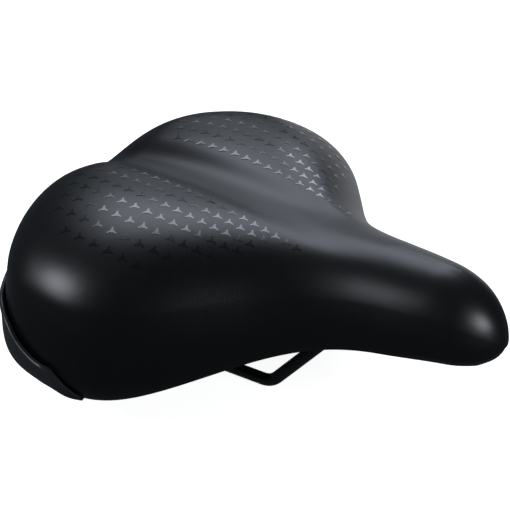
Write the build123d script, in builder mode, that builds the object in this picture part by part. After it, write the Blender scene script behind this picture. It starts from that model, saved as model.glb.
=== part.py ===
"""Wide comfort bicycle saddle on a bent wire rail with two elastomer springs.

Frame: +X to the nose, +Y to the rider's left, +Z up, in millimetres.
Origin: the middle of the seatpost clamp, between the rail's two straights.
"""
import os
from math import cos, exp, hypot, pi, sin

from build123d import *

# ---- The saddle's outer form -------------------------------------------------
saddle_length = 276.5
rear_x = -112.0
# Control heights and half widths of smooth curves, evenly spread from rear to nose.
half_width_controls = (40, 87.5, 119.5, 127.5, 120, 56, 33.5, 30.5, 17.5, 4)
top_controls = (91, 99.5, 109.5, 105.5, 93, 93, 87, 81)
rim_controls = (50.5, 37.5, 24, 14, 37, 48.5, 45.5, 39.5)
channel_depth_controls = (4, 8.5, 12, 6, 0, 0)
channel_reach = 0.75  # the channel fades out by this part of the length
channel_width_rear = 26.0
channel_width_front = 43.0
widest_fraction = 0.24  # height of the widest line, from rim to top
rim_tuck = 0.05  # how far the skirt draws in at the rim
rear_plan_radius = 60.5
rear_top_radius = 38.5
nose_plan_radius = 23.0
nose_top_radius = 37.0
rear_rim_radius = 14.0
nose_rim_radius = 12.0
section_power_rear = 3.0
section_power_nose = 1.9

# ---- Layers, from the outside in; pairs are at the rear and at the nose ------
cover_thickness = 2.0
layer_gap = 0.4
foam_side = (7.0, 3.5)
foam_top = (26.0, 14.0)
shell_thickness = 3.0
hem_width = (17.0, 9.5)
hem_end = 15.0
bumper_thickness = 3.0
bumper_lip = 17.5
bumper_rear_z = 62.0
bumper_edge = ((-85.0, 56.5), (-71.0, 56.5), (-62.0, 52.5), (-51.0, 44.0), (-41.0, 38.7), (-31.0, 36.0))
bumper_tip = (-15.0, 21.5)

bumper_screw_stations = (22.0, 66.0)
bumper_screw_radius = 1.75
bumper_screw_inset = 12.5
bumper_screw_length = 8.5
bumper_screw_drop = 0.8  # clears the lip, which slopes under the head
staple_stations = (112.0, 127.0, 141.0, 157.0, 175.0, 195.0, 215.0, 233.0)

# ---- Rail --------------------------------------------------------------------
rail_radius = 3.5
rail_half_spacing = 22.0
straight_half_length = 36.5
rail_bend_radius = 12.0
nose_bend_radius = 9.3
rear_rail_z = 30.0
nose_rail_z = 57.0
rear_rail_y = 20.0

# ---- Rear springs ------------------------------------------------------------
yoke_x = -72.0
strap_x = -76.0
spring_y = 48.0
yoke_thickness = 3.0
yoke_half_depth = 16.0
yoke_edge = 1.8
yoke_bottom = rear_rail_z + rail_radius + 0.1
yoke_top = yoke_bottom + yoke_thickness
seat_thickness = 3.0
seat_radius = 14.0
elastomer_bottom = yoke_top + seat_thickness
elastomer_top = 62.0
elastomer_radius = 12.5
bolt_radius = 3.0
bolt_hole_radius = 4.3
boss_bottom = elastomer_top + seat_thickness
boss_radius = 15.0
strap_width = 8.0
strap_thickness = 1.6
strap_half_length = 12.5
strap_screw_offset = 9.0
strap_screw_radius = 2.0

# ---- Nose block --------------------------------------------------------------
nose_bend_x = 132.0
nose_bend_y = 9.5
block_rear_x = 106.0
block_front_x = 140.0
block_half_width = 16.0
block_corner = 6.0
groove_radius = rail_radius + 0.6
keeper_bottom = 49.0
keeper_screw_radius = 2.0
keeper_screw_depth = 9.0
keeper_screw_places = ((111.0, 0), (121.0, 0))

# ---- Base shell's ribs -------------------------------------------------------
rib_bottom = 68.0
rib_thickness = 2.4
rib_y = 17.0
rib_span = (-50.0, 100.0)

os.makedirs("parts", exist_ok=True)


def blend_curve(fraction, controls):
    """Value of a uniform cubic B-spline at a fraction of its length."""
    spans = len(controls) - 3
    place = min(max(fraction, 0.0), 1.0) * spans
    first = min(int(place), spans - 1)
    t = place - first
    weights = ((1 - t) ** 3, 3 * t**3 - 6 * t**2 + 4, -3 * t**3 + 3 * t**2 + 3 * t + 1, t**3)
    return sum(w * c for w, c in zip(weights, controls[first : first + 4])) / 6


def ease(value):
    """Smooth step from 0 to 1."""
    value = min(max(value, 0.0), 1.0)
    return value * value * (3 - 2 * value)


def end_round(distance, radius, power=2.0):
    """Elliptical growth from 0 at an end to 1 at the radius."""
    part = min(max(distance / radius, 0.0), 1.0)
    return (1 - (1 - part) ** power) ** (1 / power)


def thinned(pair, fraction):
    """A depth that changes from its rear value to its nose value."""
    return pair[0] + (pair[1] - pair[0]) * ease((fraction - 0.2) / 0.5)


def section_profile(station, end, side, top):
    """Half width, top, rim and widest heights of a layer at a station from the rear."""
    fraction = station / saddle_length
    from_rear = station - end
    from_nose = saddle_length - end - station
    plan = end_round(from_rear, rear_plan_radius - end, 2.3) * end_round(from_nose, nose_plan_radius - end)
    width = (blend_curve(fraction, half_width_controls) - thinned(side, fraction)) * plan
    high = blend_curve(fraction, top_controls)
    low = blend_curve(fraction, rim_controls)
    middle = low + (high - low) * widest_fraction
    crown = end_round(from_rear, rear_top_radius - end, 2.2) * end_round(from_nose, nose_top_radius - end)
    proud = max(-end, 0)
    foot = end_round(station + proud, rear_rim_radius) * end_round(saddle_length - station + proud, nose_rim_radius)
    high -= thinned(top, fraction)
    return width, middle + (high - middle) * crown, middle - (middle - low) * foot, middle


def channel_dip(station, across):
    """Depth of the central channel below the section's plain crown."""
    fraction = station / saddle_length
    depth = blend_curve(fraction / channel_reach, channel_depth_controls)
    spread = channel_width_front - channel_width_rear
    width = channel_width_rear + spread * min(fraction / 0.6, 1.0)
    return depth * exp(-((across / width) ** 2)) * end_round(station, rear_top_radius, 2.2)


def half_section(station, end, side, top, foot_shift, channel):
    """Points of a layer's half section, from the middle of the top down to the rim."""
    width, high, low, middle = section_profile(station, end, side, top)
    blend = ease((station / saddle_length - 0.25) / 0.4)
    power = section_power_rear + (section_power_nose - section_power_rear) * blend
    points = []
    top_steps = 9
    for step in range(top_steps + 1):
        angle = pi / 2 * (1 - step / top_steps)
        across = width * max(cos(angle), 0.0) ** (2 / power)
        height = middle + (high - middle) * sin(angle) ** (2 / power)
        points.append((across, height - channel * channel_dip(station, across)))
    for drop in (0.35, 0.7, 1.0):
        across = width * (1 - rim_tuck * drop**4)
        points.append((across, middle - (middle - low - foot_shift) * drop))
    return points


def stations(end):
    """Section places from rear to nose, closer together where the ends round off."""
    count = 26
    start = end + 1.2
    length = saddle_length - 2 * start
    return [start + length * (1 - cos(pi * i / (count - 1))) / 2 for i in range(count)]


def saddle_solid(end, side, top, foot_shift, channel=1.0):
    """Solid loft of the saddle's form, drawn in by a layer's insets."""
    with BuildPart() as layer:
        for station in stations(end):
            half = half_section(station, end, side, top, foot_shift, channel)
            right = [(-across, height) for across, height in reversed(half[1:])]
            outline = right + half
            plane = Plane(origin=(rear_x + station, 0, 0), x_dir=(0, 1, 0), z_dir=(1, 0, 0))
            with BuildSketch(plane):
                with BuildLine():
                    places = [i / (len(outline) - 1) for i in range(len(outline))]
                    add(Edge.make_spline([Vector(*point) for point in outline], parameters=places))
                    Line(outline[-1], outline[0])
                make_face()
        loft()
    return layer.part


def plain_layer(inset):
    """Solid loft of the saddle's form, drawn in evenly all round."""
    return saddle_solid(inset, (inset, inset), (inset, inset), inset)


def rim_band(end, side, low, high):
    """Solid slab that follows the rim line, between two heights above it."""
    with BuildPart() as band:
        for station in stations(end):
            width, _, rim, _ = section_profile(station, end, side, (0, 0))
            plane = Plane(origin=(rear_x + station, 0, 0), x_dir=(0, 1, 0), z_dir=(1, 0, 0))
            half = width * (1 - rim_tuck)
            with BuildSketch(plane):
                with BuildLine():
                    corners = [(-half, rim + low), (half, rim + low), (half, rim + high), (-half, rim + high)]
                    Polyline(*corners, close=True)
                make_face()
        loft()
    return band.part


def rim_line(station):
    """Half width and height of the rim at a station."""
    width, _, rim, _ = section_profile(station, 0, (0, 0), (0, 0))
    return width * (1 - rim_tuck), rim


def rim_point(station, inset):
    """Place on the rim, moved in from the skirt square to its outline."""
    slope = (rim_line(station + 1)[0] - rim_line(station - 1)[0]) / 2
    run = hypot(1, slope)
    moved = station + inset * slope / run
    return rear_x + moved, rim_line(station)[0] - inset / run, rim_line(moved)[1]


def save(piece, name):
    """Label a finished piece and write its file."""
    piece.part.label = name
    export_step(piece.part, f"parts/{name}.step")


# ---- Forms that several pieces share -----------------------------------------
foam_inset = cover_thickness + layer_gap
shell_end = foam_inset + foam_side[0] + layer_gap
inner_end = shell_end + shell_thickness
below_rim = -15.0  # carries a cutting form on below the rim


def added(pair, amount):
    """A rear and nose pair of depths, each increased by an amount."""
    return pair[0] + amount, pair[1] + amount


shell_side = added(foam_side, foam_inset + layer_gap)
shell_top = added(foam_top, foam_inset + layer_gap)
shell_form = saddle_solid(shell_end, shell_side, shell_top, foam_inset, 0.4)
shell_cavity = saddle_solid(
    inner_end, added(shell_side, shell_thickness), added(shell_top, shell_thickness), below_rim, 0.4
)
hem_opening = rim_band(hem_end, hem_width, -20, 12)


def rail_wire(half_points, radii):
    """Wire of straight runs and arcs through one side's points and their mirror image."""
    other = [(x, -y, z) for x, y, z in reversed(half_points)]
    corner_radii = radii + list(reversed(radii))
    with BuildLine() as path:
        FilletPolyline(*half_points, *other, radius=corner_radii)
    return path.wire()


def sweep_round(wire, radius):
    """Round bar along a wire."""
    with BuildPart() as bar:
        with BuildSketch(Plane(origin=wire @ 0, z_dir=wire % 0)):
            Circle(radius)
        sweep(path=wire)
    return bar.part


rail_half = [
    (yoke_x - yoke_half_depth, rear_rail_y, rear_rail_z),
    (-64.0, rear_rail_y, rear_rail_z),
    (-straight_half_length, rail_half_spacing, 0),
    (straight_half_length, rail_half_spacing, 0),
    (89.0, 13.0, nose_rail_z),
    (nose_bend_x, nose_bend_y, nose_rail_z),
]
rail_path = rail_wire(rail_half, [rail_bend_radius, rail_bend_radius, rail_bend_radius, 16, nose_bend_radius])
rail_groove = sweep_round(rail_wire(rail_half[-2:], [nose_bend_radius]), groove_radius)


def bumper_screw_places():
    """Two screws on each side, through the lip under the rim."""
    places = []
    for station in bumper_screw_stations:
        x, y, z = rim_point(station, bumper_screw_inset)
        head_top = z - bumper_thickness - layer_gap - bumper_screw_drop
        places += [(x, side * y, head_top) for side in (-1, 1)]
    return places


def bumper_screw_holes():
    """Cutting rods a little wider and longer than the bumper's screws."""
    with BuildPart() as rods:
        for x, y, z in bumper_screw_places():
            with BuildSketch(Plane.XY.offset(z - 1)):
                with Locations((x, y)):
                    Circle(bumper_screw_radius + 0.1)
            extrude(amount=bumper_screw_length + 1.3)
    return rods.part


bumper_holes = bumper_screw_holes()


def make_cover():
    """Moulded skin with its hem turned in under the rim."""
    with BuildPart() as cover:
        add(plain_layer(0.0))
        add(plain_layer(cover_thickness), mode=Mode.SUBTRACT)
        add(hem_opening, mode=Mode.SUBTRACT)
        add(bumper_holes, mode=Mode.SUBTRACT)
    save(cover, "cover")


def make_foam():
    """Moulded foam pad between the cover and the base shell."""
    room = saddle_solid(
        shell_end - layer_gap, added(shell_side, -layer_gap), added(shell_top, -layer_gap), below_rim, 0.4
    )
    with BuildPart() as foam:
        add(plain_layer(foam_inset))
        add(room, mode=Mode.SUBTRACT)
    save(foam, "foam_pad")


def make_shell_boss(x, y, radius):
    """Column from the shell's roof down to a spring seat, with a hole for its bolt."""
    with BuildPart() as boss:
        with BuildSketch(Plane.XY.offset(boss_bottom)):
            with Locations((x, y)):
                Circle(radius)
        extrude(amount=40)
        add(shell_form, mode=Mode.INTERSECT)
        with BuildSketch(Plane.XY.offset(boss_bottom)):
            with Locations((x, y)):
                Circle(bolt_radius + 0.1)
        extrude(amount=6, mode=Mode.SUBTRACT)
    return boss.part


def make_shell_rib(y, low_x, high_x):
    """Stiffening rib along the shell's roof."""
    with BuildPart() as rib:
        with BuildSketch(Plane.XY.offset(rib_bottom)):
            with Locations(((low_x + high_x) / 2, y)):
                Rectangle(high_x - low_x, rib_thickness)
        extrude(amount=40)
        add(shell_form, mode=Mode.INTERSECT)
    return rib.part


def make_nose_block():
    """Block in the shell's nose that bears on the rail's front bend from above."""
    with BuildPart() as block:
        with BuildSketch(Plane.XY.offset(nose_rail_z + 0.2)):
            with Locations(((block_rear_x + block_front_x) / 2, 0)):
                RectangleRounded(block_front_x - block_rear_x, 2 * block_half_width, block_corner)
        extrude(amount=40)
        add(shell_form, mode=Mode.INTERSECT)
        add(rail_groove, mode=Mode.SUBTRACT)
        with BuildSketch(Plane.XY.offset(nose_rail_z)):
            with Locations(*keeper_screw_places):
                Circle(keeper_screw_radius + 0.1)
        extrude(amount=keeper_screw_depth, mode=Mode.SUBTRACT)
    return block.part


def make_flange():
    """Ring round the shell's rim that the hem is stapled to."""
    with BuildPart() as flange:
        add(rim_band(shell_end - 2, added(shell_side, -2), 0, foam_inset + shell_thickness))
        add(hem_opening, mode=Mode.SUBTRACT)
        add(shell_form, mode=Mode.INTERSECT)
    return flange.part


def make_base_shell():
    """Moulded base: a thin dish with a rim flange, bosses, ribs and the nose block."""
    with BuildPart() as base_shell:
        add(shell_form)
        add(shell_cavity, mode=Mode.SUBTRACT)
        add(make_flange())
        for side in (-1, 1):
            add(make_shell_boss(yoke_x, side * spring_y, boss_radius))
            add(make_shell_rib(side * rib_y, *rib_span))
        add(make_nose_block())
        add(bumper_holes, mode=Mode.SUBTRACT)
    save(base_shell, "base_shell")


def make_bumper():
    """Hard guard round the lower rear edge, with tapered ends."""
    behind = rear_x - 10
    with BuildPart() as zone:
        with BuildSketch(Plane.XZ):
            with BuildLine():
                edge = Spline((behind, bumper_rear_z), *bumper_edge)
                Polyline(edge @ 1, bumper_tip, (bumper_tip[0], -20), (behind, -20), edge @ 0)
            make_face()
        extrude(amount=150, both=True)
    with BuildPart() as bumper:
        add(plain_layer(-bumper_thickness))
        add(plain_layer(-layer_gap), mode=Mode.SUBTRACT)
        add(rim_band(bumper_lip - 2, (bumper_lip, bumper_lip), -20, 12), mode=Mode.SUBTRACT)
        add(zone.part, mode=Mode.INTERSECT)
        add(bumper_holes, mode=Mode.SUBTRACT)
    save(bumper, "rear_bumper")


def make_rail():
    """One bent wire, from one yoke end round the nose to the other."""
    with BuildPart() as rail:
        add(sweep_round(rail_path, rail_radius))
    save(rail, "rail")


def make_yoke():
    """Pressed bridge over the rail's rear ends, with turned-up edges."""
    with BuildPart() as yoke:
        with BuildSketch(Plane.XY.offset(yoke_bottom)):
            with Locations((yoke_x, 0)):
                SlotOverall(2 * (spring_y + yoke_half_depth), 2 * yoke_half_depth, rotation=90)
        extrude(amount=yoke_thickness)
        for side in (-1, 1):
            with BuildSketch(Plane.XY.offset(yoke_top)):
                with Locations((yoke_x + side * (yoke_half_depth - yoke_edge / 2), 0)):
                    Rectangle(yoke_edge, 2 * spring_y)
            extrude(amount=4)
        with BuildSketch(Plane.XY.offset(yoke_top)):
            with Locations((yoke_x, -spring_y), (yoke_x, spring_y)):
                Circle(bolt_hole_radius)
            with Locations(*strap_screw_places()):
                Circle(strap_screw_radius + 0.1)
        extrude(amount=-yoke_thickness, mode=Mode.SUBTRACT)
    save(yoke, "rear_yoke")


def strap_screw_places():
    """The four screws beside the rail's ends."""
    return [(strap_x, side * (rear_rail_y + step * strap_screw_offset)) for side in (-1, 1) for step in (-1, 1)]


def make_strap(side, name):
    """Pressed strap that holds one rail end up against the yoke."""
    y = side * rear_rail_y
    plane = Plane(origin=(strap_x - strap_width / 2, y, rear_rail_z), x_dir=(0, 1, 0), z_dir=(1, 0, 0))
    outer = rail_radius + 0.1 + strap_thickness
    wing_low = rail_radius - strap_thickness
    with BuildPart() as strap:
        with BuildSketch(plane):
            with Locations((0, (wing_low + rail_radius) / 2)):
                Rectangle(2 * strap_half_length, strap_thickness)
            Circle(outer)
            Circle(rail_radius + 0.1, mode=Mode.SUBTRACT)
            with Locations((0, rail_radius / 2)):
                Rectangle(2 * (rail_radius + 0.1), rail_radius, mode=Mode.SUBTRACT)
            with Locations((0, rail_radius + outer / 2)):
                Rectangle(4 * strap_half_length, outer, mode=Mode.SUBTRACT)
        extrude(amount=strap_width)
        with BuildSketch(Plane.XY.offset(yoke_bottom)):
            with Locations((strap_x, y - strap_screw_offset), (strap_x, y + strap_screw_offset)):
                Circle(strap_screw_radius + 0.1)
        extrude(amount=-10, mode=Mode.SUBTRACT)
    save(strap, name)


def screw_group(places, head_top, head_radius, head_height, shank_radius, shank_length, name, hexagon=False):
    """Screws with heads below and shanks pointing up, one solid each."""
    with BuildPart() as screws:
        for x, y, z in places:
            with BuildSketch(Plane.XY.offset(z + head_top)):
                with Locations((x, y)):
                    if hexagon:
                        RegularPolygon(head_radius, 6)
                    else:
                        Circle(head_radius)
            extrude(amount=-head_height)
            with BuildSketch(Plane.XY.offset(z + head_top)):
                with Locations((x, y)):
                    Circle(shank_radius)
            extrude(amount=shank_length)
            with BuildSketch(Plane.XY.offset(z + head_top - head_height)):
                with Locations((x, y)):
                    RegularPolygon(head_radius * 0.45, 6)
            extrude(amount=head_height * 0.5, mode=Mode.SUBTRACT)
    save(screws, name)


def make_strap_fixings():
    """Screws up through the straps and yoke, and their nuts."""
    places = [(x, y, 0) for x, y in strap_screw_places()]
    strap_bottom = rear_rail_z + rail_radius - strap_thickness
    screw_group(places, strap_bottom, 3.2, 2.4, strap_screw_radius, 8.5, "yoke_strap_screws")
    with BuildPart() as nuts:
        with BuildSketch(Plane.XY.offset(yoke_top)):
            with Locations(*strap_screw_places()):
                RegularPolygon(3.6, 6)
                Circle(strap_screw_radius + 0.05, mode=Mode.SUBTRACT)
        extrude(amount=2.4)
    save(nuts, "yoke_strap_nuts")


def make_seat(side, name, plane_z, lip_direction, hole_radius):
    """Shallow cup that locates one end of a spring."""
    y = side * spring_y
    with BuildPart() as seat:
        with BuildSketch(Plane.XY.offset(plane_z)):
            with Locations((yoke_x, y)):
                Circle(seat_radius)
                Circle(hole_radius, mode=Mode.SUBTRACT)
        extrude(amount=-lip_direction * seat_thickness)
        with BuildSketch(Plane.XY.offset(plane_z)):
            with Locations((yoke_x, y)):
                Circle(seat_radius)
                Circle(seat_radius - 1.2, mode=Mode.SUBTRACT)
        extrude(amount=lip_direction * 1.6)
    save(seat, name)


def make_elastomer(side, name):
    """Rubber spring with a waist groove and a hole for the bolt."""
    height = elastomer_top - elastomer_bottom
    with BuildPart() as elastomer:
        plane = Plane(origin=(yoke_x, side * spring_y, elastomer_bottom), x_dir=(1, 0, 0), z_dir=(0, -1, 0))
        with BuildSketch(plane):
            with BuildLine():
                bore = bolt_radius + 1.0
                low_groove = height * 0.3
                high_groove = height * 0.7
                Line((bore, 0), (elastomer_radius, 0))
                Line((elastomer_radius, 0), (elastomer_radius, low_groove - 2))
                ThreePointArc((elastomer_radius, low_groove - 2), (elastomer_radius - 2, low_groove),
                              (elastomer_radius, low_groove + 2))
                Line((elastomer_radius, low_groove + 2), (elastomer_radius, high_groove - 2))
                ThreePointArc((elastomer_radius, high_groove - 2), (elastomer_radius - 2, high_groove),
                              (elastomer_radius, high_groove + 2))
                Line((elastomer_radius, high_groove + 2), (elastomer_radius, height))
                Line((elastomer_radius, height), (bore, height))
                Line((bore, height), (bore, 0))
            make_face()
        revolve(axis=Axis((yoke_x, side * spring_y, 0), (0, 0, 1)))
    save(elastomer, name)


def make_spring_fixings():
    """Bolts up through the springs into the shell's bosses, and washers below the yoke."""
    places = [(yoke_x, side * spring_y, 0) for side in (-1, 1)]
    spots = [(x, y) for x, y, _ in places]
    washer_thickness = 1.2
    shank = boss_bottom + 5 - (yoke_bottom - washer_thickness)
    screw_group(places, yoke_bottom - washer_thickness, 5.2, 3.5, bolt_radius, shank, "spring_bolts", True)
    with BuildPart() as washers:
        with BuildSketch(Plane.XY.offset(yoke_bottom)):
            with Locations(*spots):
                Circle(7.5)
                Circle(bolt_radius + 0.1, mode=Mode.SUBTRACT)
        extrude(amount=-washer_thickness)
    save(washers, "spring_washers")


def make_keeper():
    """Lower half of the nose socket, which closes round the rail's front bend."""
    height = nose_rail_z - 0.2 - keeper_bottom
    with BuildPart() as keeper:
        with BuildSketch(Plane.XY.offset(keeper_bottom)):
            with Locations(((block_rear_x + block_front_x) / 2, 0)):
                RectangleRounded(block_front_x - block_rear_x, 2 * block_half_width, block_corner)
        extrude(amount=height)
        fillet(keeper.faces().sort_by(Axis.Z)[0].edges(), 1.5)
        add(rail_groove, mode=Mode.SUBTRACT)
        with BuildSketch(Plane.XY.offset(keeper_bottom)):
            with Locations(*keeper_screw_places):
                Circle(keeper_screw_radius + 0.1)
        extrude(amount=height, mode=Mode.SUBTRACT)
    save(keeper, "nose_keeper")
    places = [(x, y, 0) for x, y in keeper_screw_places]
    shank = nose_rail_z + keeper_screw_depth - 1 - keeper_bottom
    screw_group(places, keeper_bottom, 3.4, 2.4, keeper_screw_radius, shank, "nose_keeper_screws")


def make_bumper_screws():
    """Self-tapping screws up through the bumper's lip and the hem into the flange."""
    screw_group(bumper_screw_places(), 0, 3.2, 2.0, bumper_screw_radius, bumper_screw_length, "bumper_screws")


def make_staples():
    """Wire staples that hold the hem to the shell's flange."""
    crown = 9.0
    wire = 0.9
    leg = 4.0
    with BuildPart() as staples:
        for station in staple_stations:
            x, y, z = rim_point(station, staple_inset(station))
            ahead = rim_point(station + 2, staple_inset(station + 2))
            behind = rim_point(station - 2, staple_inset(station - 2))
            run = Vector(ahead) - Vector(behind)
            for side in (-1, 1):
                along = Vector(run.X, side * run.Y, run.Z).normalized()
                upright = Vector(0, 0, 1) - along * along.Z
                plane = Plane(origin=(x, side * y, z - wire / 2), x_dir=along, z_dir=upright)
                with BuildSketch(plane.offset(-wire / 2)):
                    Rectangle(crown, wire)
                extrude(amount=wire)
                with BuildSketch(plane.offset(wire / 2)):
                    with Locations((-(crown - wire) / 2, 0), ((crown - wire) / 2, 0)):
                        Rectangle(wire, wire)
                extrude(amount=leg)
    save(staples, "cover_staples")


def staple_inset(station):
    """Distance of a staple from the skirt, midway over the shell's flange."""
    return thinned(hem_width, station / saddle_length) - 2.0


make_cover()
make_foam()
make_base_shell()
make_bumper()
make_bumper_screws()
make_staples()
make_rail()
make_yoke()
make_strap_fixings()
make_spring_fixings()
make_keeper()
for side, name in ((-1, "right"), (1, "left")):
    make_strap(side, f"yoke_strap_{name}")
    make_seat(side, f"lower_seat_{name}", elastomer_bottom, 1, bolt_hole_radius)
    make_seat(side, f"upper_seat_{name}", elastomer_top, -1, bolt_radius + 0.1)
    make_elastomer(side, f"elastomer_{name}")
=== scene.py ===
"""Wide comfort bicycle saddle: moulded skin with printed stars, rear guard and bent wire rail."""
import math

import bmesh
import bpy
import numpy as np
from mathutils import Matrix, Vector


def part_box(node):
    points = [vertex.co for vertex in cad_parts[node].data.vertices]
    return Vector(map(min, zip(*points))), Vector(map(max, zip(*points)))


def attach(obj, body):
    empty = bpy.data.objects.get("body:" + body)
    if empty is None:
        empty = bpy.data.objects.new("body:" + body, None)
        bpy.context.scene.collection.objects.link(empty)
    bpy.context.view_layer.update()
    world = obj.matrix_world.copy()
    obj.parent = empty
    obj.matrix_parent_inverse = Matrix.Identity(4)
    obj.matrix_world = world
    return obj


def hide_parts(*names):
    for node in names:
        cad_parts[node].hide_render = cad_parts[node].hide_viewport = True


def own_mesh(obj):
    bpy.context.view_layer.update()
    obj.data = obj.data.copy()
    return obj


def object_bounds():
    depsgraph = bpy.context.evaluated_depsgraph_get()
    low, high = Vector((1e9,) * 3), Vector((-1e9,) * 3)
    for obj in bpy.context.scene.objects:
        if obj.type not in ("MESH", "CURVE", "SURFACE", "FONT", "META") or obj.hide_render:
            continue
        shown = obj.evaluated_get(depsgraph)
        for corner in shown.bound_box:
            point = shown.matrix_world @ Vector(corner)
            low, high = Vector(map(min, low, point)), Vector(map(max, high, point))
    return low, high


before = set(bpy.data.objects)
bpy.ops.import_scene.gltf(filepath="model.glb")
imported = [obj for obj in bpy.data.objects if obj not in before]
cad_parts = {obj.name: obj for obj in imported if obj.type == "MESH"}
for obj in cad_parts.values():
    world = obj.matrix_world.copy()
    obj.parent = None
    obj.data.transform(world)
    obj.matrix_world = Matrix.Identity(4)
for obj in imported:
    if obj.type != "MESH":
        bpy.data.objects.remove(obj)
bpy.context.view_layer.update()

MM = 0.001

# ---- The saddle's form, in millimetres, as the CAD states it ------------------
LENGTH = 276.5
REAR_LOSS = 1.2  # how far the cover's blunt rear stops short of the nominal length
REAR_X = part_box("cover")[0][0] / MM - REAR_LOSS
HALF_WIDTHS = (40, 87.5, 119.5, 127.5, 120, 56, 33.5, 30.5, 17.5, 4)
TOPS = (91, 99.5, 109.5, 105.5, 93, 93, 87, 81)
RIMS = (50.5, 37.5, 24, 14, 37, 48.5, 45.5, 39.5)
CHANNEL_DEPTHS = (4, 8.5, 12, 6, 0, 0)
CHANNEL_REACH = 0.75
CHANNEL_WIDTHS = (26.0, 43.0)
WIDEST = 0.24  # height of the widest line, from rim to top
REAR_PLAN = (60.5, 2.3)  # radius and squareness of the rounded rear, seen from above
REAR_CROWN = (38.5, 2.2)
REAR_RIM = 14.0
NOSE_PLAN = 23.0
NOSE_CROWN = 37.0
SECTION_POWERS = (3.0, 1.9)  # squareness of the section's upper part, rear and nose
TUCK = 0.05  # share of the half width that the skirt draws in at the rim
COVER = 2.0
GAP = 0.4
FOAM_SIDE = (7.0, 3.5)  # pairs are at the rear and at the nose
FOAM_TOP = (26.0, 14.0)
HEM_WIDTH = (17.0, 9.5)
HEM_END = 15.0

# ---- What the looks add to that form: a flatter channel and a blunter nose -------
TROUGH_SHARE = 0.42  # part of the channel's depth that is a flat-floored trough
TROUGH_HALF_WIDTHS = (13.5, 17.0)
NOSE_RIM = 7.0
NOSE_TUCK = 0.2
NOSE_PULL = 4.5  # how far the nose's lower edge is drawn back under its tip
NOSE_PULL_LENGTH = 24.0


def curve(fraction, controls):
    """Uniform cubic B-spline through a list of controls, at fractions of its length."""
    controls = np.asarray(controls, float)
    spans = len(controls) - 3
    place = np.clip(fraction, 0, 1) * spans
    first = np.minimum(place.astype(int), spans - 1)
    t = place - first
    weights = ((1 - t) ** 3, 3 * t**3 - 6 * t**2 + 4, -3 * t**3 + 3 * t**2 + 3 * t + 1, t**3)
    return sum(w * controls[first + i] for i, w in enumerate(weights)) / 6


def ease(value):
    """Smooth step from 0 to 1."""
    value = np.clip(value, 0, 1)
    return value * value * (3 - 2 * value)


def end_round(distance, radius, power=2.0):
    """Elliptical growth from 0 at an end to 1 at the radius."""
    part = np.clip(distance / radius, 0, 1)
    return (1 - (1 - part) ** power) ** (1 / power)


def thinned(pair, fraction):
    """A depth that changes from its rear value to its nose value."""
    return pair[0] + (pair[1] - pair[0]) * ease((fraction - 0.2) / 0.5)


def profile(station, end=0.0, side=(0, 0), top=(0, 0)):
    """Half width, top, rim and widest heights of a layer at stations from the rear."""
    station = np.asarray(station, float)
    fraction = station / LENGTH
    from_rear = station - end
    from_nose = LENGTH - end - station
    plan = end_round(from_rear, REAR_PLAN[0] - end, REAR_PLAN[1]) * end_round(from_nose, NOSE_PLAN - end)
    width = (curve(fraction, HALF_WIDTHS) - thinned(side, fraction)) * plan
    high = curve(fraction, TOPS)
    low = curve(fraction, RIMS)
    middle = low + (high - low) * WIDEST
    crown = end_round(from_rear, REAR_CROWN[0] - end, REAR_CROWN[1])
    crown = crown * end_round(from_nose, NOSE_CROWN - end)
    proud = max(-end, 0)
    foot = end_round(station + proud, REAR_RIM) * end_round(LENGTH - station + proud, NOSE_RIM)
    high = high - thinned(top, fraction)
    return width, middle + (high - middle) * crown, middle - (middle - low) * foot, middle


def section_power(station):
    """Squareness of the section's upper part, from the rear to the nose."""
    change = SECTION_POWERS[1] - SECTION_POWERS[0]
    return SECTION_POWERS[0] + change * ease((station / LENGTH - 0.25) / 0.4)


def channel_dip(station, across):
    """Depth of the central channel below the plain crown."""
    fraction = station / LENGTH
    depth = curve(fraction / CHANNEL_REACH, CHANNEL_DEPTHS)
    spread = CHANNEL_WIDTHS[1] - CHANNEL_WIDTHS[0]
    width = CHANNEL_WIDTHS[0] + spread * np.clip(fraction / 0.6, 0, 1)
    hollow = np.exp(-((across / width) ** 2))
    widening = TROUGH_HALF_WIDTHS[1] - TROUGH_HALF_WIDTHS[0]
    wall = TROUGH_HALF_WIDTHS[0] + widening * ease(fraction / 0.3)
    trough = np.exp(-((across / wall) ** 4))
    share = TROUGH_SHARE * ease((station - 12) / 32)
    return depth * (hollow + share * (trough - hollow)) * end_round(station, *REAR_CROWN)


def top_height(x, y):
    """Height of the cover's upper surface over a point of the plan."""
    station = np.asarray(x, float) - REAR_X
    width, high, _, middle = profile(station)
    power = section_power(station)
    part = np.clip(np.abs(y) / width, 0, 0.9999)
    return middle + (high - middle) * (1 - part**power) ** (1 / power) - channel_dip(station, y)


# ---- Mesh helpers ----------------------------------------------------------------
class Net:
    """Vertices in millimetres and faces, gathered before they become one mesh."""

    def __init__(self):
        self.points = []
        self.faces = []

    def add(self, point):
        """Adds one vertex and gives its number."""
        self.points.append(tuple(float(c) for c in point))
        return len(self.points) - 1

    def strip(self, first, second, closed=False):
        """Joins two rows of vertices with faces."""
        count = len(first)
        for i in range(count if closed else count - 1):
            j = (i + 1) % count
            corners = [first[i], first[j], second[j], second[i]]
            unique = list(dict.fromkeys(corners))
            if len(unique) > 2:
                self.faces.append(unique)


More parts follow.
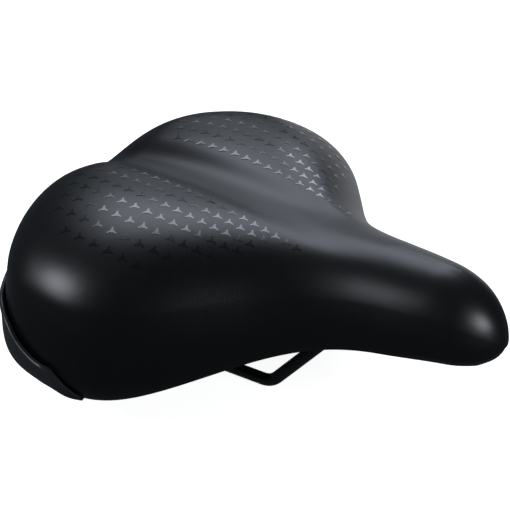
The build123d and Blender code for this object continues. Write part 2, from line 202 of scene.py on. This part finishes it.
def make_object(net, name, material, smooth=True):
    """Turns a net into an object with outward normals."""
    mesh = bpy.data.meshes.new(name)
    mesh.from_pydata([[c * MM for c in p] for p in net.points], [], net.faces)
    work = bmesh.new()
    work.from_mesh(mesh)
    bmesh.ops.remove_doubles(work, verts=work.verts, dist=1e-6)
    bmesh.ops.recalc_face_normals(work, faces=work.faces)
    for face in work.faces:
        face.smooth = smooth
    work.to_mesh(mesh)
    work.free()
    mesh.materials.append(material)
    piece = bpy.data.objects.new(name, mesh)
    bpy.context.scene.collection.objects.link(piece)
    return piece


def subdivide(piece, levels):
    """Adds a subdivision surface."""
    modifier = piece.modifiers.new("subdivision", "SUBSURF")
    modifier.levels = levels
    modifier.render_levels = levels
    return modifier


EASED_SPAN = (9, 6)  # columns above and below the widest line
EASING_ROUNDS = 24


def eased_columns(columns, widest):
    """Softens the section where its crown meets the skirt."""
    first, last = widest - EASED_SPAN[0], widest + EASED_SPAN[1]
    for _ in range(EASING_ROUNDS):
        around = (columns[first - 1 : last - 1] + columns[first + 1 : last + 1]) / 2
        columns[first:last] = (columns[first:last] + around) / 2
    return columns


def dome(net, end, side, top, foot, dip_share, along=130, across=34, down=14):
    """Adds a layer's upper form to a net. Gives its rim as a closed loop of vertices."""
    turn = np.linspace(0, np.pi, along + 1)[1:-1]
    station = end + (LENGTH - 2 * end) * (1 - np.cos(turn)) / 2
    width, high, low, middle = profile(station, end, side, top)
    low = low + foot
    power = section_power(station)
    columns = []
    for angle in np.linspace(np.pi / 2, 0, across + 1):
        c, s = abs(math.cos(angle)), math.sin(angle)
        reach = (c**power + s**power) ** (-1 / power)
        y = width * reach * c
        z = middle + (high - middle) * reach * s - dip_share * channel_dip(station, y)
        columns.append((y, z, 0 * y))
    nose_foot = end_round(LENGTH - station, NOSE_RIM)
    pull = NOSE_PULL * ease(1 - (LENGTH - station) / NOSE_PULL_LENGTH) * nose_foot
    tuck = TUCK + (NOSE_TUCK - TUCK) * ease((station / LENGTH - 0.8) / 0.15)
    for drop in 1 - (1 - np.linspace(0, 1, down + 1)[1:]) ** 1.35:
        columns.append((width * (1 - tuck * drop**3), middle - (middle - low) * drop, pull * drop**2))
    columns = eased_columns(np.array(columns), across)
    grid = []
    for i in range(along - 1):
        place = REAR_X + station[i]
        row = [(place - back[i], -y[i], z[i]) for y, z, back in reversed(columns[1:])]
        row += [(place - back[i], y[i], z[i]) for y, z, back in columns]
        grid.append([net.add(point) for point in row])
    ends = []
    for place in (end, LENGTH - end):
        _, _, _, height = profile(np.array([place]), end, side, top)
        ends.append(net.add((REAR_X + place, 0, height[0])))
    for first, second in zip(grid, grid[1:]):
        net.strip(first, second)
    net.strip(grid[0], [ends[0]] * len(grid[0]))
    net.strip([ends[1]] * len(grid[-1]), grid[-1])
    left = [row[-1] for row in grid]
    right = [row[0] for row in grid]
    return [ends[0]] + left + [ends[1]] + right[::-1]


def inset_loop(along, end, side):
    """Plan of a rim loop that is drawn in, in the same order as a dome's rim."""
    turn = np.linspace(0, np.pi, along + 1)
    station = end + (LENGTH - 2 * end) * (1 - np.cos(turn)) / 2
    width, _, _, _ = profile(station, end, side)
    half = [(REAR_X + s, w * (1 - TUCK)) for s, w in zip(station, width)]
    return half + [(x, -y) for x, y in half[-2:0:-1]]


def rim_height(x):
    """Height of the rim over a place along the saddle."""
    _, _, low, _ = profile(np.array([x - REAR_X]))
    return low[0]


# ---- Materials -----------------------------------------------------------------
def new_material(name, color, roughness, specular=0.5, metallic=0.0):
    """A principled material with its node tree, shader and object coordinates."""
    material = bpy.data.materials.new(name)
    material.use_nodes = True
    tree = material.node_tree
    shader = tree.nodes["Principled BSDF"]
    shader.inputs["Base Color"].default_value = (*color, 1)
    shader.inputs["Roughness"].default_value = roughness
    shader.inputs["Specular IOR Level"].default_value = specular
    shader.inputs["Metallic"].default_value = metallic
    coordinates = tree.nodes.new("ShaderNodeTexCoord")
    return material, tree, shader, coordinates.outputs["Object"]


def noise(tree, place, scale, detail=3.0, kind="ShaderNodeTexNoise"):
    """A noise or cell texture over object coordinates."""
    node = tree.nodes.new(kind)
    node.inputs["Scale"].default_value = scale
    if "Detail" in node.inputs:
        node.inputs["Detail"].default_value = detail
    tree.links.new(place, node.inputs["Vector"])
    return node.outputs[0]


def remap(tree, value, low, high, from_low=0.0, from_high=1.0):
    """A value carried from one range to another."""
    node = tree.nodes.new("ShaderNodeMapRange")
    node.inputs["From Min"].default_value = from_low
    node.inputs["From Max"].default_value = from_high
    node.inputs["To Min"].default_value = low
    node.inputs["To Max"].default_value = high
    tree.links.new(value, node.inputs["Value"])
    return node.outputs["Result"]


def blend_values(tree, first, second, operation="ADD"):
    """Two values joined by a mathematical operation."""
    node = tree.nodes.new("ShaderNodeMath")
    node.operation = operation
    tree.links.new(first, node.inputs[0])
    if isinstance(second, float):
        node.inputs[1].default_value = second
    else:
        tree.links.new(second, node.inputs[1])
    return node.outputs[0]


def bump(tree, shader, height, strength, distance):
    """Feeds a height to the shader's normal."""
    node = tree.nodes.new("ShaderNodeBump")
    node.inputs["Strength"].default_value = strength
    node.inputs["Distance"].default_value = distance
    tree.links.new(height, node.inputs["Height"])
    tree.links.new(node.outputs["Normal"], shader.inputs["Normal"])


def tint(tree, shader, value, dark, light):
    """Colours the base between two tones by a value."""
    ramp = tree.nodes.new("ShaderNodeValToRGB")
    ramp.color_ramp.elements[0].color = (*dark, 1)
    ramp.color_ramp.elements[1].color = (*light, 1)
    ramp.color_ramp.elements[0].position = 0.3
    ramp.color_ramp.elements[1].position = 0.7
    tree.links.new(value, ramp.inputs["Fac"])
    tree.links.new(ramp.outputs["Color"], shader.inputs["Base Color"])


def skin_material():
    """Black moulded leatherette with a very fine, even grain."""
    material, tree, shader, place = new_material("leatherette", (0.002, 0.0021, 0.0024), 0.4)
    grain = noise(tree, place, 1900.0, kind="ShaderNodeTexVoronoi")
    fine = noise(tree, place, 3200.0, 2.0)
    soft = noise(tree, place, 45.0, 3.0)
    height = blend_values(tree, grain, blend_values(tree, fine, 0.5, "MULTIPLY"))
    bump(tree, shader, height, 0.30, 0.00006)
    rough = blend_values(tree, remap(tree, soft, -0.02, 0.02), remap(tree, grain, 0.29, 0.36))
    tree.links.new(rough, shader.inputs["Roughness"])
    tint(tree, shader, soft, (0.0019, 0.002, 0.0023), (0.0027, 0.0029, 0.0033))
    return material


def print_material():
    """Glossy black print."""
    material, tree, shader, place = new_material("star_gloss", (0.0015, 0.0015, 0.0017), 0.2, 0.6)
    wave = noise(tree, place, 900.0, 2.0)
    bump(tree, shader, wave, 0.08, 0.00004)
    tree.links.new(remap(tree, wave, 0.17, 0.26), shader.inputs["Roughness"])
    shader.inputs["Coat Weight"].default_value = 0.5
    shader.inputs["Coat Roughness"].default_value = 0.16
    return material


def plastic_material(name, color, roughness, scale=1500.0, strength=0.12):
    """Moulded plastic with a fine spark texture and slow tone changes."""
    material, tree, shader, place = new_material(name, color, roughness)
    spark = noise(tree, place, scale, 2.0)
    slow = noise(tree, place, 30.0, 3.0)
    bump(tree, shader, spark, strength, 0.00005)
    tree.links.new(remap(tree, slow, roughness - 0.05, roughness + 0.06), shader.inputs["Roughness"])
    tint(tree, shader, slow, [c * 0.85 for c in color], [c * 1.2 for c in color])
    return material


def metal_material(name, color, roughness, scale=900.0):
    """Plated steel with faint brushing and tone changes."""
    material, tree, shader, place = new_material(name, color, roughness, metallic=1.0)
    fine = noise(tree, place, scale, 4.0)
    slow = noise(tree, place, 60.0, 3.0)
    bump(tree, shader, fine, 0.1, 0.00003)
    tree.links.new(remap(tree, fine, roughness - 0.08, roughness + 0.1), shader.inputs["Roughness"])
    tint(tree, shader, slow, [c * 0.8 for c in color], [min(c * 1.1, 1) for c in color])
    return material


def foam_material():
    """Open-cell grey foam."""
    material, tree, shader, place = new_material("foam", (0.05, 0.05, 0.052), 0.9, 0.2)
    cells = noise(tree, place, 700.0, kind="ShaderNodeTexVoronoi")
    slow = noise(tree, place, 40.0, 3.0)
    bump(tree, shader, cells, 0.6, 0.0003)
    tint(tree, shader, slow, (0.045, 0.045, 0.046), (0.06, 0.06, 0.061))
    return material


skin = skin_material()
star_gloss = print_material()
guard_plastic = plastic_material("guard_plastic", (0.022, 0.023, 0.025), 0.36, 1800.0, 0.08)
base_plastic = plastic_material("base_plastic", (0.012, 0.012, 0.0125), 0.48, 900.0, 0.35)
seat_plastic = plastic_material("seat_plastic", (0.02, 0.02, 0.021), 0.42, 1100.0, 0.2)
spring_rubber = plastic_material("spring_rubber", (0.015, 0.015, 0.016), 0.62, 700.0, 0.3)
rail_paint = plastic_material("rail_paint", (0.008, 0.008, 0.009), 0.28, 600.0, 0.12)
yoke_paint = plastic_material("yoke_paint", (0.010, 0.010, 0.011), 0.36, 500.0, 0.18)
zinc = metal_material("zinc", (0.52, 0.53, 0.55), 0.32)
wire = metal_material("staple_wire", (0.6, 0.6, 0.58), 0.36)
mark_print = plastic_material("mark_print", (0.6, 0.6, 0.6), 0.5, 900.0, 0.1)
foam_grey = foam_material()


# ---- Cover and foam ------------------------------------------------------------
ALONG = 130
HEM_SHARES = (0.02, 0.06, 0.12, 0.2, 0.3, 0.45, 0.7, 0.9, 1.0)


def make_cover():
    """The moulded skin: domed top, skirts and the hem turned in under the rim."""
    net = Net()
    rim = dome(net, 0.0, (0, 0), (0, 0), 0.0, 1.0, ALONG)
    starts = [net.points[number] for number in rim]
    inner = inset_loop(ALONG, HEM_END, HEM_WIDTH)
    loop = rim
    for share in HEM_SHARES:
        ring = []
        for (x_out, y_out, z_out), (x_in, y_in) in zip(starts, inner):
            x = x_out + (x_in - x_out) * share
            y = y_out + (y_in - y_out) * share
            ring.append(net.add((x, y, z_out + (rim_height(x) - z_out) * end_round(share, 0.5))))
        net.strip(loop, ring, closed=True)
        loop = ring
    cover = make_object(net, "cover_skin", skin)
    thickness = cover.modifiers.new("thickness", "SOLIDIFY")
    thickness.thickness = (COVER - 0.1) * MM
    thickness.offset = -1
    subdivide(cover, 1)
    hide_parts("cover")
    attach(cover, "saddle_top")
    return cover


def make_foam():
    """The moulded pad under the skin, hollow where the base shell sits."""
    net = Net()
    inset = COVER + GAP
    outer = dome(net, inset, (inset, inset), (inset, inset), inset, 1.0, 80, 24, 8)
    side = [depth + inset for depth in FOAM_SIDE]
    top = [depth + inset for depth in FOAM_TOP]
    inner = dome(net, side[0], side, top, inset, 0.4, 80, 24, 8)
    net.strip(outer, inner, closed=True)
    foam = make_object(net, "foam_core", foam_grey)
    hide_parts("foam_pad")
    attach(foam, "saddle_top")
    return foam


# ---- Rear guard ----------------------------------------------------------------
GUARD_EDGE = (
    (-122.0, 62.0),
    (-85.0, 56.5),
    (-71.0, 56.5),
    (-62.0, 52.5),
    (-51.0, 44.0),
    (-41.0, 38.7),
    (-31.0, 36.0),
)
GUARD_TIP = (-15.0, 21.5)
GUARD_CREASE = (-23.0, 23.0)
GUARD_PROUD = 3.0
GUARD_TIP_PROUD = 0.9
GUARD_GAP = 0.5  # between the skin and the guard's inner face
GUARD_CENTRE_X = -45.0
GUARD_LIP = 17.0
# The rolled upper edge: depth below the edge, and how far it stands off the face.
GUARD_BEAD = ((-0.7, -1.6), (-1.0, -0.5), (-0.6, 0.5), (0.3, 1.05), (1.3, 1.1), (2.2, 0.55), (2.9, 0.0))
GUARD_BEAD_END = 3.6
GUARD_EVENING = 9  # angles each side that the lower edge is evened over
GUARD_ROUND = (20.0, 6.5)  # height and depth of the face's turn towards its lower edge


def guard_top(x):
    """Height of the guard's upper edge: a smooth curve to its kink, then a straight fall."""
    xs, zs = (np.array(values) for values in zip(*GUARD_EDGE))
    slopes = np.gradient(zs, xs)
    slopes[0] = 0.0
    place = np.clip(np.searchsorted(xs, x) - 1, 0, len(xs) - 2)
    step = xs[place + 1] - xs[place]
    t = np.clip((x - xs[place]) / step, 0, 1)
    smooth = (
        (2 * t**3 - 3 * t**2 + 1) * zs[place]
        + (t**3 - 2 * t**2 + t) * step * slopes[place]
        + (3 * t**2 - 2 * t**3) * zs[place + 1]
        + (t**3 - t**2) * step * slopes[place + 1]
    )
    kink_x, kink_z = GUARD_EDGE[-1]
    fall = kink_z + (x - kink_x) * (GUARD_TIP[1] - kink_z) / (GUARD_TIP[0] - kink_x)
    return np.where(x > kink_x, fall, smooth)


def guard_proud(x, z):
    """How far the guard stands off the skin: even, then a flat facet down to its tip."""
    kink_x, kink_z = GUARD_EDGE[-1]
    fall = np.clip((kink_z - z) / (kink_z - GUARD_TIP[1]), 0, 1)
    edge = kink_x + (GUARD_TIP[0] - kink_x) * fall
    fall = np.clip((kink_z - z) / (kink_z - GUARD_CREASE[1]), 0, 1)
    crease = kink_x + (GUARD_CREASE[0] - kink_x) * fall
    share = np.clip((edge - x) / np.maximum(edge - crease, 0.05), 0, 1)
    share = np.where(x < kink_x, 1.0, share)
    return GUARD_TIP_PROUD + (GUARD_PROUD - GUARD_TIP_PROUD) * share


def layer_half_width(x, z, proud):
    """Half width at a height of a layer that stands proud of the skin."""
    station = x - REAR_X
    fraction = station / LENGTH
    plan = end_round(station + proud, REAR_PLAN[0] + proud, REAR_PLAN[1])
    width = (curve(fraction, HALF_WIDTHS) + proud) * plan
    low = curve(fraction, RIMS)
    high = curve(fraction, TOPS)
    middle = low + (high - low) * WIDEST
    crown = end_round(station + proud, REAR_CROWN[0] + proud, REAR_CROWN[1])
    high = middle + (high + proud - middle) * crown
    foot = end_round(station + proud, REAR_RIM)
    low = middle - (middle - low) * foot - proud
    power = section_power(station)
    rise = np.clip((z - middle) / np.maximum(high - middle, 0.01), 0, 1)
    drop = np.clip((middle - z) / np.maximum(middle - low, 0.01), 0, 1)
    return np.where(z > middle, width * (1 - rise**power) ** (1 / power), width * (1 - TUCK * drop**4))


def guard_point(angle, z, proud):
    """Place on a proud layer along a level ray from the guard's centre, by halving."""
    near = np.full_like(angle, 20.0)
    far = np.full_like(angle, 160.0)
    for _ in range(36):
        reach = (near + far) / 2
        x = GUARD_CENTRE_X + reach * np.cos(angle)
        inside = np.abs(reach * np.sin(angle)) < layer_half_width(x, z, proud)
        inside &= x > REAR_X - proud
        near = np.where(inside, reach, near)
        far = np.where(inside, far, reach)
    reach = (near + far) / 2
    return GUARD_CENTRE_X + reach * np.cos(angle), reach * np.sin(angle)


def guard_angles():
    """Ray angles from the left tip round the rear to the right tip, closer at the tips."""
    side_y = 120.0
    tip = math.atan2(side_y, GUARD_TIP[0] - GUARD_CENTRE_X)
    kink = math.atan2(side_y, GUARD_EDGE[-1][0] - GUARD_CENTRE_X)
    end = np.linspace(tip, kink, 14)
    middle = np.linspace(kink, 2 * math.pi - kink, 150)[1:-1]
    return np.concatenate([end, middle, 2 * math.pi - end[::-1]])


def make_guard():
    """Hard guard with a rolled upper lip, a creased end facet and a lip under the rim."""
    angle = guard_angles()
    z_top = np.full_like(angle, 60.0)
    for _ in range(30):
        x, _ = guard_point(angle, z_top, np.full_like(angle, 1.0))
        z_top = 0.5 * z_top + 0.5 * guard_top(x)
    rows = []

    def outer_row(z, extra):
        """A row of the outer face, at a height, standing a little further out."""
        x, y = guard_point(angle, z, np.full_like(angle, GUARD_PROUD))
        for _ in range(3):
            x, y = guard_point(angle, z, guard_proud(x, z) + extra)
        return x, y, z

    x_low = x
    for _ in range(6):
        z_low = np.array([rim_height(value) for value in x_low]) - guard_proud(x_low, z_top)
        x_low, _ = guard_point(angle, z_low, guard_proud(x_low, z_low))
    window = 2 * GUARD_EVENING + 1
    padded = np.pad(z_low, GUARD_EVENING, mode="edge")
    lowest = np.array([padded[i : i + window].min() for i in range(len(z_low))])
    padded = np.pad(lowest, GUARD_EVENING, mode="edge")
    z_low = np.convolve(padded, np.ones(window) / window, "valid")
    height = z_top - z_low
    scale = np.clip(height / 14, 0.15, 1)
    bead = np.clip((height - 4) / 14, 0.0, 1)
    gap = np.full_like(angle, GUARD_GAP)
    x_wall, y_wall = guard_point(angle, z_top - 0.2, gap)
    rows.append((x_wall, y_wall, z_top - 0.2))
    for drop, extra in GUARD_BEAD:
        least = 0.1 if extra > 0 else 0.5
        rows.append(outer_row(z_top - drop * scale, extra * np.maximum(bead, least)))
    start = z_top - GUARD_BEAD_END * scale
    fullness = np.clip(height / 22, 0.1, 1) * guard_proud(x_low, z_low) / GUARD_PROUD
    round_height, round_depth = GUARD_ROUND[0] * fullness, GUARD_ROUND[1] * fullness
    for share in 1 - (1 - np.linspace(0, 1, 20)) ** 2:
        z = start + (z_low - start) * share
        rise = np.clip(1 - (z - z_low) / round_height, 0, 1)
        rows.append(outer_row(z, -round_depth * (1 - np.sqrt(1 - rise**2))))
    x_out, y_out, _ = rows[-1]
    tangent = np.stack([np.gradient(x_out), np.gradient(y_out)])
    tangent /= np.linalg.norm(tangent, axis=0)
    inward_x, inward_y = -tangent[1], tangent[0]
    for move in (1.0, 3.0, 8.0, GUARD_LIP - 1, GUARD_LIP):
        x, y = x_out + inward_x * move, y_out + inward_y * move
        low = np.array([rim_height(value) for value in x])
        rows.append((x, y, low - np.maximum(guard_proud(x_out, z_low), 1.2)))
    for move in (GUARD_LIP, GUARD_LIP - 1, 8.0, 4.0):
        x, y = x_out + inward_x * move, y_out + inward_y * move
        low = np.array([rim_height(value) for value in x])
        rows.append((x, y, low - GUARD_GAP))
    for share in np.linspace(0.06, 0.94, 8):
        z = z_low + 2.0 + (z_top - z_low - 2.2) * share
        x, y = guard_point(angle, z, gap)
        rows.append((x, y, z))
    net = Net()
    table = [[net.add(point) for point in zip(*row)] for row in rows]
    for first, second in zip(table, table[1:] + table[:1]):
        net.strip(first, second)
    net.faces.append([row[0] for row in table])
    net.faces.append([row[-1] for row in table[::-1]])
    guard = make_object(net, "rear_guard", guard_plastic)
    subdivide(guard, 1)
    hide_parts("rear_bumper")
    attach(guard, "saddle_top")
    return guard


# ---- Printed stars --------------------------------------------------------------
# Each row's number, from the outer to the inner, and its first and last steps along.
STAR_ROWS = (
    (0, -6.0, 1.0),
    (1, -7.5, 2.5),
    (2, -8.0, 3.0),
    (3, -8.5, 4.5),
    (4, -9.0, 5.0),
    (5, -8.5, 5.5),
    (6, -8.0, 8.0),
)
STAR_MIDDLE_ROW = 3
STAR_SIZE = 3.1
STAR_SHRINK = 0.03  # by each step towards the nose
STAR_LIFTS = (0.07, -0.2)  # upper and lower faces, from the skin


def star_place(step, row):
    """Plan of one star: rows bow outwards, close up and turn in towards the nose."""
    out = row - STAR_MIDDLE_ROW
    x = 2.35 + 7.2 * step - 1.19 * out + 0.155 * out**2 + (0.03 * out - 0.148) * step**2
    y = 56.3 - 1.395 * step - 10.0 * out + 0.47 * step * out - (0.171 - 0.049 * out) * step**2
    return x, y


def surface_frame(x, y):
    """Point, normal and two tangents of the cover's top."""
    d = 0.4
    slope_x = float(top_height(x + d, y) - top_height(x - d, y)) / (2 * d)
    slope_y = float(top_height(x, y + d) - top_height(x, y - d)) / (2 * d)
    normal = Vector((-slope_x, -slope_y, 1)).normalized()
    along = Vector((1, 0, slope_x)).normalized()
    return Vector((x, y, float(top_height(x, y)))), normal, along, normal.cross(along)


def star_outline(size):
    """Corners of a three-armed star with blunt tips."""
    corners = []
    for arm in range(3):
        angle = arm * 2 * math.pi / 3
        c, s = math.cos(angle), math.sin(angle)
        for reach, offset in ((0.46, -0.19), (1.0, -0.17), (1.0, 0.17), (0.46, 0.19)):
            corners.append((size * (reach * c - offset * s), size * (reach * s + offset * c)))
    return corners


def add_star(net, x, y, size):
    """One thin star laid on the cover."""
    _, normal, along, across = surface_frame(x, y)
    centre = Vector((x, y, 0))
    rings = {lift: [] for lift in STAR_LIFTS}
    for lift, ring in rings.items():
        for a, b in [(0, 0)] + star_outline(size):
            flat = centre + along * a + across * b
            surface = Vector((flat.x, flat.y, float(top_height(flat.x, flat.y))))
            ring.append(net.add(surface + normal * lift))
    upper, lower = rings.values()
    count = len(upper) - 1
    for i in range(count):
        j = (i + 1) % count
        net.faces.append([upper[0], upper[1 + i], upper[1 + j]])
        net.faces.append([lower[0], lower[1 + j], lower[1 + i]])
        net.faces.append([upper[1 + i], lower[1 + i], lower[1 + j], upper[1 + j]])


def make_stars(side, name):
    """The printed stars of one lobe."""
    net = Net()
    for row, first, last in STAR_ROWS:
        for step in np.arange(first, last + 0.5):
            x, y = star_place(step, row)
            add_star(net, x, side * y, STAR_SIZE - STAR_SHRINK * (step + 9))
    stars = make_object(net, name, star_gloss)
    stars.data.set_sharp_from_angle(angle=math.radians(50))
    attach(stars, "saddle_top")
    return stars


# ---- Springs and rail marks --------------------------------------------------------
SPRING_BORE = 4.0
SPRING_SHOULDER = 1.2
SPRING_GROOVE = (2.0, 2.2)  # depth and half height of a waist groove
RAIL_RADIUS = 3.5
RAIL_HALF_SPACING = 22.0
MARK_GAP = 5.0
MARK_SECTION = ((-0.3, -0.1), (-0.3, 0.05), (0.3, 0.05), (0.3, -0.1))  # along, and off the wire
MARK_START = -95
MARK_ENDS = (-15, -40)  # long and short ticks, in degrees round the wire


def make_spring(name, side_name):
    """Rubber spring with two waist grooves and rounded shoulders."""
    low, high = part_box(name)
    x, y = ((a + b) / 2 / MM for a, b in zip(low[:2], high[:2]))
    bottom, top = low[2] / MM, high[2] / MM
    radius = (high[0] - low[0]) / 2 / MM
    height = top - bottom
    inner, shoulder = radius - SPRING_SHOULDER, SPRING_SHOULDER
    chamfer = 0.35
    outline = [(SPRING_BORE, 0.0), (inner, 0.0), (radius - chamfer, chamfer), (radius, shoulder)]
    groove, half = SPRING_GROOVE
    for centre in (0.3, 0.7):
        for turn in np.linspace(0, math.pi, 7):
            outline.append((radius - groove * math.sin(turn), height * centre - half * math.cos(turn)))
    outline += [(radius, height - shoulder), (radius - chamfer, height - chamfer)]
    outline += [(inner, height), (SPRING_BORE, height)]
    net = Net()
    rings = []
    for turn in np.linspace(0, 2 * math.pi, 49)[:-1]:
        c, s = math.cos(turn), math.sin(turn)
        rings.append([net.add((x + r * c, y + r * s, bottom + z)) for r, z in outline])
    for first, second in zip(rings, rings[1:] + rings[:1]):
        net.strip(first, second, closed=True)
    spring = make_object(net, f"rubber_spring_{side_name}", spring_rubber)
    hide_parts(name)
    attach(spring, "rail_frame")
    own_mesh(spring)
    return spring


def make_rail_marks():
    """Short printed ticks on the lower outer side of both straights."""
    net = Net()
    for side in (-1, 1):
        for number, x in enumerate(np.arange(-30.0, 31.0, MARK_GAP)):
            rows = []
            for degrees in np.linspace(MARK_START, MARK_ENDS[number % 2], 8):
                a = math.radians(degrees)
                row = []
                for along, lift in MARK_SECTION:
                    reach = RAIL_RADIUS + lift
                    y = side * (RAIL_HALF_SPACING + reach * math.cos(a))
                    row.append(net.add((x + along, y, reach * math.sin(a))))
                rows.append(row)
            for first, second in zip(rows, rows[1:]):
                net.strip(first, second, closed=True)
            net.faces.append(rows[0])
            net.faces.append(rows[-1][::-1])
    marks = make_object(net, "rail_scale_marks", mark_print)
    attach(marks, "rail_frame")
    return marks


# ---- CAD nodes keep their shape and get their materials ------------------------------
NODE_MATERIALS = {
    "base_shell": base_plastic,
    "nose_keeper": base_plastic,
    "rail": rail_paint,
    "rear_yoke": yoke_paint,
    "yoke_strap_left": yoke_paint,
    "yoke_strap_right": yoke_paint,
    "lower_seat_left": seat_plastic,
    "lower_seat_right": seat_plastic,
    "upper_seat_left": seat_plastic,
    "upper_seat_right": seat_plastic,
    "cover_staples": wire,
    "bumper_screws": zinc,
    "nose_keeper_screws": zinc,
    "yoke_strap_screws": zinc,
    "yoke_strap_nuts": zinc,
    "spring_bolts": zinc,
    "spring_washers": zinc,
}


def dress_nodes():
    """Gives each CAD node that stays its material."""
    for name, material in NODE_MATERIALS.items():
        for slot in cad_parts[name].material_slots:
            slot.material = material


# ---- Studio ----------------------------------------------------------------------
CAMERA_PLACE = Vector((0.5136, -0.7098, 0.5149))
CAMERA_FORWARD = Vector((-0.51297, 0.72286, -0.46297))
CAMERA_LENS = 127.06

COOL = (0.82, 0.88, 1.0)
PALE = (0.90, 0.92, 1.0)
FAINT = (0.92, 0.95, 1.0)
# Name, place, target, size in metres, power in watts, tone and shape of each light.
LIGHTS = (
    ("light_back", (-0.46, 0.72, 1.24), (0, 0, 0.08), 0.8, 7.2, COOL, "SQUARE"),
    ("light_far", (-0.30, 1.22, 0.78), (0, 0.05, 0.08), 0.40, 1.4, COOL, "DISK"),
    ("light_rear", (-0.70, 1.00, 0.50), (-0.05, 0.05, 0.08), 0.45, 0.3, COOL, "DISK"),
    ("light_left", (-0.40, -0.68, 0.60), (-0.03, -0.10, 0.08), 0.36, 3.8, PALE, "DISK"),
    ("light_nose", (0.38, -0.053, 0.158), (0.154, -0.013, 0.06), 0.09, 0.27, PALE, "DISK"),
    ("light_rim", (-0.06, 0.40, 0.03), (0.02, 0.08, 0.08), 0.3, 0.12, FAINT, "DISK"),
)


def make_camera():
    """Camera at the product view's angle."""
    data = bpy.data.cameras.new("camera")
    data.lens = CAMERA_LENS
    data.sensor_width = 36
    data.clip_start = 0.01
    camera = bpy.data.objects.new("camera", data)
    camera.location = CAMERA_PLACE
    camera.rotation_euler = CAMERA_FORWARD.to_track_quat("-Z", "Y").to_euler()
    bpy.context.scene.collection.objects.link(camera)
    bpy.context.scene.camera = camera


def make_light(name, place, target, size, power, tone, shape):
    """Soft area light aimed at a point."""
    data = bpy.data.lights.new(name, "AREA")
    data.shape = shape
    data.size = size
    data.energy = power
    data.color = tone
    light = bpy.data.objects.new(name, data)
    light.location = place
    light.visible_camera = False
    light.rotation_euler = (Vector(target) - Vector(place)).to_track_quat("-Z", "Y").to_euler()
    bpy.context.scene.collection.objects.link(light)


def make_floor():
    """Pale floor under the rail, with a faint mottle."""
    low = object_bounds()[0][2] - 0.0002
    half = 6.0
    mesh = bpy.data.meshes.new("floor")
    corners = [(-half, -half, low), (half, -half, low), (half, half, low), (-half, half, low)]
    mesh.from_pydata(corners, [], [(0, 1, 2, 3)])
    material, tree, shader, place = new_material("floor_white", (0.9, 0.9, 0.9), 0.9, 0.1)
    tint(tree, shader, noise(tree, place, 3.0), (0.895, 0.895, 0.9), (0.905, 0.905, 0.91))
    shader.inputs["Emission Color"].default_value = (1, 1, 1, 1)
    shader.inputs["Emission Strength"].default_value = 0.92
    mesh.materials.append(material)
    floor = bpy.data.objects.new("floor", mesh)
    bpy.context.scene.collection.objects.link(floor)
    floor.visible_glossy = False
    floor.visible_diffuse = False


def make_backdrop():
    """Plain white surround that the camera sees and the saddle doesn't mirror."""
    work = bmesh.new()
    bmesh.ops.create_uvsphere(work, u_segments=48, v_segments=24, radius=5.9)
    mesh = bpy.data.meshes.new("backdrop")
    work.to_mesh(mesh)
    work.free()
    material, _, shader, _ = new_material("backdrop_white", (0.9, 0.9, 0.9), 0.9, 0.0)
    shader.inputs["Emission Color"].default_value = (1, 1, 1, 1)
    shader.inputs["Emission Strength"].default_value = 0.95
    mesh.materials.append(material)
    backdrop = bpy.data.objects.new("backdrop", mesh)
    bpy.context.scene.collection.objects.link(backdrop)
    backdrop.visible_glossy = False
    backdrop.visible_diffuse = False
    backdrop.visible_shadow = False


def make_world():
    """Even, dim surroundings."""
    world = bpy.data.worlds.new("studio")
    world.use_nodes = True
    background = world.node_tree.nodes["Background"]
    background.inputs["Color"].default_value = (0.72, 0.86, 1.0, 1)
    background.inputs["Strength"].default_value = 0.08
    bpy.context.scene.world = world
    bpy.context.scene.view_settings.view_transform = "Standard"


make_camera()
make_cover()
make_foam()
make_guard()
for star_side, side_label in ((-1, "right"), (1, "left")):
    make_stars(star_side, f"star_print_{side_label}")
    make_spring(f"elastomer_{side_label}", side_label)
make_rail_marks()
dress_nodes()
make_floor()
make_backdrop()
make_world()
for light_facts in LIGHTS:
    make_light(*light_facts)
